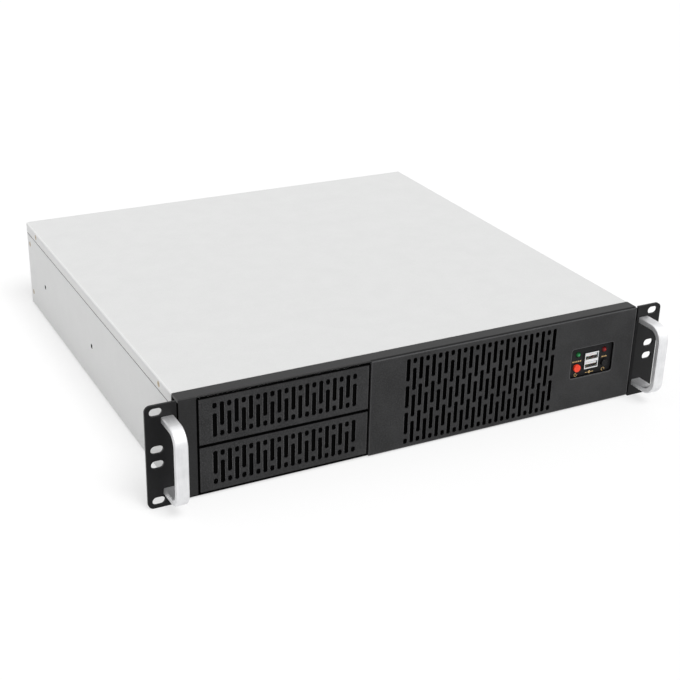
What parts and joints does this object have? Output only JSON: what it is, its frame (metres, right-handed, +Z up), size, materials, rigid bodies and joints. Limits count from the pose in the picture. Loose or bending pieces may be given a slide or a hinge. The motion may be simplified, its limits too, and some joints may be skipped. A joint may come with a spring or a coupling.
{
  "type": "empty rackmount server case",
  "caption": "Empty two-unit rackmount server case with vented black front, blanked drive bays, control panel, handles and lift-off cover.",
  "frame": {"origin": "middle of the rack panel on the front face of the ears", "axes": "+X to the right seen from the front, +Y from the front to the rear, +Z up"},
  "size_m": [0.4826, 0.457, 0.0882],
  "materials": {
    "light_grey_paint": "fine textured powder coat",
    "black_paint": "fine textured powder coat",
    "bare_steel": "galvanised",
    "handle_aluminium": "satin anodised",
    "zinc_screws": "yellow zinc",
    "black_plastic": "matte",
    "green_board": "solder resist",
    "socket_shell": "nickel plated",
    "white_plastic": "moulded",
    "red_plastic": "moulded",
    "green_lamp": "tinted",
    "red_lamp": "tinted",
    "standoff_brass": "turned"
  },
  "bodies": {
    "case": {"chassis_base": "light_grey_paint", "front_frame": "black_paint", "front_plate": "black_paint", "front_plate_nuts": "zinc_screws", "upper_bay_cover": "black_paint", "lower_bay_cover": "black_paint", "bay_cover_screws": "zinc_screws", "drive_cage": "bare_steel", "drive_cage_screws": "zinc_screws", "left_rack_ear": "black_paint", "right_rack_ear": "black_paint", "ear_screws": "zinc_screws", "left_handle": "handle_aluminium", "right_handle": "handle_aluminium", "handle_screws": "zinc_screws", "control_panel": "black_plastic", "control_board": "green_board", "control_screws": "zinc_screws", "usb_socket": "socket_shell", "usb_tongues": "white_plastic", "button_switches": "black_plastic", "power_led": "green_lamp", "disk_led": "red_lamp", "fan_bracket": "bare_steel", "fan_bracket_screws": "zinc_screws", "fan_screws": "zinc_screws", "left_fan_frame": "black_plastic", "right_fan_frame": "black_plastic", "rear_panel": "light_grey_paint", "rear_panel_screws": "zinc_screws", "slot_covers": "bare_steel", "slot_cover_screws": "zinc_screws", "board_standoffs": "standoff_brass", "hard_drive_bracket": "bare_steel", "hard_drive_bracket_screws": "zinc_screws"},
    "cover": {"top_cover": "light_grey_paint", "cover_screws": "zinc_screws", "cover_nuts": "zinc_screws"},
    "power_button": {"power_button": "red_plastic"},
    "reset_button": {"reset_button": "black_plastic"},
    "left_fan_rotor": {"left_fan_rotor": "black_plastic"},
    "right_fan_rotor": {"right_fan_rotor": "black_plastic"}
  },
  "joints": [
    {"name": "cover_lift", "type": "slide", "parent": "case", "child": "cover", "axis": [0, 0, 1], "range_m": [0, 0.12]},
    {"name": "power_press", "type": "slide", "parent": "case", "child": "power_button", "axis": [0, 1, 0], "range_m": [0, 0.001], "stiffness_N_per_m": 400, "springref_m": -0.0006},
    {"name": "reset_press", "type": "slide", "parent": "case", "child": "reset_button", "axis": [0, 1, 0], "range_m": [0, 0.001], "stiffness_N_per_m": 400, "springref_m": -0.0006},
    {"name": "left_fan_spin", "type": "hinge", "parent": "case", "child": "left_fan_rotor", "pos_m": [0.0133, 0.02, 0], "axis": [0, 1, 0], "continuous": true},
    {"name": "right_fan_spin", "type": "hinge", "parent": "case", "child": "right_fan_rotor", "pos_m": [0.0973, 0.02, 0], "axis": [0, 1, 0], "continuous": true}
  ]
}
